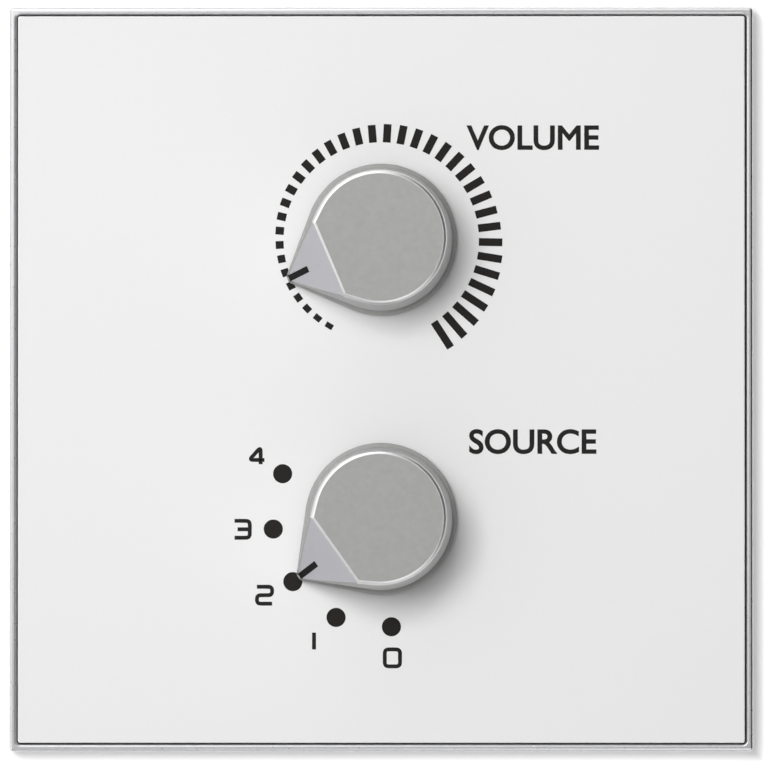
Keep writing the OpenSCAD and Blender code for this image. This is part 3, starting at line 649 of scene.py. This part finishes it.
def addSolder(name, tips, face, side, form):
    bm = bmesh.new()
    for tip in tips:
        last = None
        edges = []
        for step in range(form["solderSteps"] + 1):
            share = step / form["solderSteps"]
            radius = form["solderNeck"] + (form["solderFoot"] - form["solderNeck"]) * (1 - share) ** 2
            rise = face + side * form["solderHeight"] * share * mm
            v = bm.verts.new((tip.x + radius * mm, rise, tip.z))
            if last:
                edges.append(bm.edges.new((last, v)))
            last = v
        profile = edges + list({v for e in edges for v in e.verts})
        bmesh.ops.spin(bm, geom=profile, cent=(tip.x, face, tip.z), axis=(0, 1, 0), angle=math.tau,
                       steps=form["solderSegments"], use_merge=True)
    bmesh.ops.remove_doubles(bm, verts=bm.verts, dist=weldGap)
    fillHoles(bm)
    bmesh.ops.recalc_face_normals(bm, faces=bm.faces)
    addPiece(bm, name, "panel", [trims["solderTin"]], sharp=form["solderSharp"])


def addChipEnds(chips, form):
    bm = bmesh.new()
    proud = form["capProud"] * mm
    length = form["capLength"] * mm
    for low, high in chips:
        lowest = Vector((low.x - proud, low.y, low.z - proud))
        highest = Vector((high.x + proud, high.y + proud, high.z + proud))
        addBox(bm, lowest, Vector((low.x + length, highest.y, highest.z)))
        addBox(bm, Vector((high.x - length, lowest.y, lowest.z)), highest)
    bevelEdges(bm, bm.edges[:], form["capEdge"], form["capSteps"], clamp=True)
    addPiece(bm, "resistorEnds", "panel", [trims["solderTin"]])


def addPads(form):
    bm = bmesh.new()
    for points in islands("board_screws"):
        low, high = boxOf(points)
        home = Matrix.Translation(Vector(((low.x + high.x) / 2, boardRear, (low.z + high.z) / 2)))
        rings = []
        for radius in (form["padOuter"], form["padInner"]):
            ring = bmesh.ops.create_circle(bm, radius=radius * mm, segments=form["padSegments"])["verts"]
            bmesh.ops.transform(bm, matrix=home @ stand, verts=ring)
            rings += list({e for v in ring for e in v.link_edges})
        bmesh.ops.bridge_loops(bm, edges=rings)
    bmesh.ops.recalc_face_normals(bm, faces=bm.faces)
    lifted = bmesh.ops.extrude_face_region(bm, geom=bm.faces[:])["geom"]
    lift = [v for v in lifted if isinstance(v, bmesh.types.BMVert)]
    bmesh.ops.translate(bm, vec=(0, form["padThick"] * mm, 0), verts=lift)
    bmesh.ops.recalc_face_normals(bm, faces=bm.faces)
    addPiece(bm, "boardPads", "panel", [trims["solderTin"]])


def addTracks(routes, form):
    curve = strokeCurve("trackCurve", form["trackWidth"])
    for k, route in enumerate(routes):
        lift = k * form["trackStep"]  # so that no two tracks that meet share a face
        path = bendCorners([Vector((x / mm, z / mm, lift)) for x, z in route], False, form["trackBend"])
        addSpline(curve, path, False)
    bm = curveMesh(curve)
    bmesh.ops.scale(bm, vec=(mm, mm, form["trackThick"] * mm / form["trackWidth"]), verts=bm.verts)
    bmesh.ops.transform(bm, matrix=Matrix.Translation(Vector((0, boardRear, 0))) @ stand, verts=bm.verts)
    bmesh.ops.remove_doubles(bm, verts=bm.verts, dist=fineGap)
    bmesh.ops.recalc_face_normals(bm, faces=bm.faces)
    addPiece(bm, "boardTracks", "panel", [trims["traceGreen"]])


def boardRoutes(ways, levelPins, chips, form):
    ends = form["capLength"] * mm / 2
    left = [(low.x + ends, (low.z + high.z) / 2) for low, high in chips]
    right = [(high.x - ends, (low.z + high.z) / 2) for low, high in chips]
    below = chips[0][0].z - form["laneBelow"] * mm
    above = chips[-1][1].z + form["laneAbove"] * mm
    outer = chips[0][1].x + form["laneOut"] * mm
    inner = chips[0][0].x - form["laneIn"] * mm
    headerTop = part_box("terminal_header")[1].z
    # the chips are joined in a row, at alternate ends
    pairs = [(right[0], right[1]), (left[1], left[2]), (right[2], right[3])]
    joints = [(a[0], (a[1] + b[1]) / 2) for a, b in pairs]
    starts = [(way.x, way.z) for way in ways]
    routes = [list(pair) for pair in pairs]
    # first way: under the chips and up their far side
    x, z = starts[0]
    routes.append([(x, z), (x + z - below, below), (outer, below), (outer, joints[0][1]), joints[0]])
    # second way: on a slant to the row of its chip
    x, z = starts[1]
    routes.append([(x, z), (x + abs(left[0][1] - z), left[0][1]), left[0]])
    # third and fourth way: straight across, then each up its own lane
    for k, goal in enumerate((joints[1], left[3])):
        x, z = starts[2 + k]
        lane = inner - k * form["laneIn"] * mm
        routes.append([(x, z), (lane, z), (lane, goal[1]), goal])
    # last way: over the chips and down their far side
    x, z = starts[4]
    routes.append([(x, z), (x, above), (outer, above), (outer, joints[2][1]), joints[2]])
    for tip in levelPins:  # the level control runs under the terminal block
        routes.append([(tip.x, tip.z), (tip.x, headerTop - form["laneIn"] * mm)])
    return routes


levelPins = pinTips("level_terminals", 1, rearForm)
selectPins = pinTips("select_terminals", 1, rearForm)
headerPins = pinTips("header_pins", -1, rearForm)
dial = hinges["select_turn"]
common = max(selectPins, key=lambda tip: tip.x)
ways = sorted((tip for tip in selectPins if tip is not common),
              key=lambda tip: math.atan2(-tip.x, dial.z - tip.z))  # in the order of the dots on the dial
chips = sorted((boxOf(points) for points in islands("ladder_resistors")), key=lambda corners: corners[0].z)
addSolder("pinSolder", levelPins + selectPins, boardRear, 1, rearForm)
addSolder("headerSolder", headerPins, boardFront, -1, rearForm)
addChipEnds(chips, rearForm)
addPads(rearForm)
addTracks(boardRoutes(ways, levelPins, chips, rearForm), rearForm)
print("board dressed:", len(levelPins) + len(selectPins) + len(headerPins), "solder joints")


# camera, at the photograph's place: metres, and degrees to the right and up
viewForm = {
    "distance": 2.0, "right": 0.8, "up": -0.9, "width": 0.0826, "aimX": 0.0003, "aimZ": -0.0005,
    "sensor": 36.0, "clipNear": 0.01, "clipFar": 20,
}


def lookAlong(direction):
    return direction.to_track_quat("-Z", "Y").to_euler()


def addCamera(form):
    camera = bpy.data.cameras.new("photoCamera")
    camera.sensor_width = form["sensor"]
    camera.lens = form["sensor"] * form["distance"] / form["width"]
    camera.clip_start = form["clipNear"]
    camera.clip_end = form["clipFar"]
    holder = addObject("photoCamera", camera)
    aim = Vector((form["aimX"], plateFront, form["aimZ"]))
    turn = math.radians(form["right"])
    rise = math.radians(form["up"])
    away = Vector((math.sin(turn) * math.cos(rise), -math.cos(turn) * math.cos(rise), math.sin(rise)))
    holder.location = aim + away * form["distance"]
    holder.rotation_euler = lookAlong(-away)
    bpy.context.scene.camera = holder


addCamera(viewForm)


# stage: a wall that shows from its front only, lamps and world, in metres
stageForm = {"wallAt": 0.0004, "half": 1.2, "glow": 0.28, "color": 0.8, "fadeFrom": 0.0403, "fadeTo": 0.0418}


def rayKinds(tree):  # rays straight from the camera, and mirrored ones
    path = tree.nodes.new("ShaderNodeLightPath")
    straight = mathNode(tree, "MAXIMUM", path.outputs["Is Camera Ray"], path.outputs["Is Transmission Ray"])
    return straight, path.outputs["Is Glossy Ray"]


def fadeOut(tree, form):  # 0 close to the frame, 1 where the wall turns plain white
    parts = tree.nodes.new("ShaderNodeSeparateXYZ")
    tree.links.new(tree.nodes.new("ShaderNodeTexCoord").outputs["Object"], parts.inputs[0])
    across = mathNode(tree, "ABSOLUTE", parts.outputs["X"], 0.0)
    upward = mathNode(tree, "ABSOLUTE", parts.outputs["Z"], 0.0)
    ramp = tree.nodes.new("ShaderNodeMapRange")
    ramp.inputs["From Min"].default_value = form["fadeFrom"]
    ramp.inputs["From Max"].default_value = form["fadeTo"]
    tree.links.new(mathNode(tree, "MAXIMUM", across, upward), ramp.inputs["Value"])
    return ramp.outputs[0]


def wallFinish(name, form):
    material = bpy.data.materials.new(name)
    material.use_nodes = True
    tree = material.node_tree
    tree.nodes.clear()
    leave = tree.nodes.new("ShaderNodeOutputMaterial")
    matt = tree.nodes.new("ShaderNodeBsdfDiffuse")
    matt.inputs["Color"].default_value = (form["color"], form["color"], form["color"], 1)
    shine = tree.nodes.new("ShaderNodeEmission")
    straight, glossy = rayKinds(tree)
    glow = mathNode(tree, "MULTIPLY", mathNode(tree, "MAXIMUM", straight, glossy), form["glow"])
    share = mathNode(tree, "MULTIPLY", fadeOut(tree, form), 1.0 - form["glow"])
    white = mathNode(tree, "MULTIPLY", straight, share)
    tree.links.new(mathNode(tree, "ADD", glow, white), shine.inputs["Strength"])
    both = tree.nodes.new("ShaderNodeAddShader")
    tree.links.new(matt.outputs[0], both.inputs[0])
    tree.links.new(shine.outputs[0], both.inputs[1])
    clear = tree.nodes.new("ShaderNodeBsdfTransparent")
    choose = tree.nodes.new("ShaderNodeMixShader")
    geometry = tree.nodes.new("ShaderNodeNewGeometry")
    tree.links.new(geometry.outputs["Backfacing"], choose.inputs[0])
    tree.links.new(both.outputs[0], choose.inputs[1])
    tree.links.new(clear.outputs[0], choose.inputs[2])
    tree.links.new(choose.outputs[0], leave.inputs["Surface"])
    return material


def addWall(form):
    bm = bmesh.new()
    bmesh.ops.create_grid(bm, x_segments=1, y_segments=1, size=form["half"])
    bmesh.ops.transform(bm, matrix=Matrix.Translation(Vector((0, form["wallAt"], 0))) @ stand, verts=bm.verts)
    mesh = bpy.data.meshes.new("wall")
    bm.to_mesh(mesh)
    bm.free()
    mesh.materials.append(wallFinish("paleWall", form))
    sheet = addObject("wall", mesh)


addWall(stageForm)

# a lamp that isn't mirrored shows in no reflection, and one that doesn't light is a card for reflections
lamps = {
    "keyLamp": {"place": (-0.066, -0.40, 0.060), "size": 0.125, "power": 1.07,
                "mirrored": False, "lights": True},
    "topLamp": {"place": (-0.16, -0.36, 0.56), "size": 0.40, "power": 0.6,
                "mirrored": True, "lights": False},
    "leftLamp": {"place": (-0.46, -0.30, -0.26), "size": 0.30, "power": 0.75,
                 "mirrored": True, "lights": False},
    "lowLamp": {"place": (0.13, -0.45, -0.33), "size": 0.30, "power": 0.44,
                "mirrored": True, "lights": False},
    "cardLamp": {"place": (-0.13, -0.30, 0.13), "size": 0.27, "power": 0.24,
                 "mirrored": True, "lights": False},
    "rearLamp": {"place": (-0.35, 0.55, 0.35), "size": 0.40, "power": 4.0,
                 "mirrored": True, "lights": True},
}


def addLamp(name, form):
    lamp = bpy.data.lights.new(name, "AREA")
    lamp.size = form["size"]
    lamp.energy = form["power"]
    holder = addObject(name, lamp)
    holder.location = form["place"]
    holder.rotation_euler = lookAlong(-Vector(form["place"]))
    holder.visible_camera = False
    holder.visible_glossy = form["mirrored"]
    holder.visible_diffuse = form["lights"]


for name, form in lamps.items():
    addLamp(name, form)

worldForm = {
    "fill": 0.53, "brightSide": (-0.62, -0.10, 0.78), "brightFrom": 0.0, "brightTo": 0.7, "dim": 0.48,
    "shadeSide": (0.86, -0.30, 0.36), "shadeFrom": 0.45, "shadeTo": 0.85, "shade": 0.95,
}


def sideMask(tree, direction, low, high, start, end):
    coords = tree.nodes.new("ShaderNodeTexCoord")
    toward = tree.nodes.new("ShaderNodeVectorMath")
    toward.operation = "DOT_PRODUCT"
    toward.inputs[1].default_value = Vector(direction).normalized()
    tree.links.new(coords.outputs["Generated"], toward.inputs[0])
    ramp = tree.nodes.new("ShaderNodeMapRange")
    ramp.interpolation_type = "SMOOTHSTEP"
    for label, value in (("From Min", low), ("From Max", high), ("To Min", start), ("To Max", end)):
        ramp.inputs[label].default_value = value
    tree.links.new(toward.outputs["Value"], ramp.inputs["Value"])
    return ramp.outputs[0]


def setWorld(form):
    world = bpy.data.worlds.new("studioWorld")
    bpy.context.scene.world = world
    world.use_nodes = True
    tree = world.node_tree
    back = tree.nodes["Background"]
    back.inputs["Color"].default_value = (1, 1, 1, 1)
    straight, glossy = rayKinds(tree)
    shade = sideMask(tree, form["shadeSide"], form["shadeFrom"], form["shadeTo"], 1.0, 1.0 - form["shade"])
    bright = sideMask(tree, form["brightSide"], form["brightFrom"], form["brightTo"], form["dim"], 1.0)
    # white for the camera, white with a dim and a dark side for reflections, a lower fill for the rest
    mirrored = mathNode(tree, "MULTIPLY", glossy, mathNode(tree, "MULTIPLY", shade, bright))
    seen = mathNode(tree, "MAXIMUM", straight, mirrored)
    rest = mathNode(tree, "SUBTRACT", 1.0, mathNode(tree, "MAXIMUM", straight, glossy))
    fill = mathNode(tree, "MULTIPLY", mathNode(tree, "MULTIPLY", rest, shade), form["fill"])
    tree.links.new(mathNode(tree, "ADD", seen, fill), back.inputs["Strength"])


setWorld(worldForm)
bpy.context.scene.view_settings.view_transform = "Standard"
print("stage set")
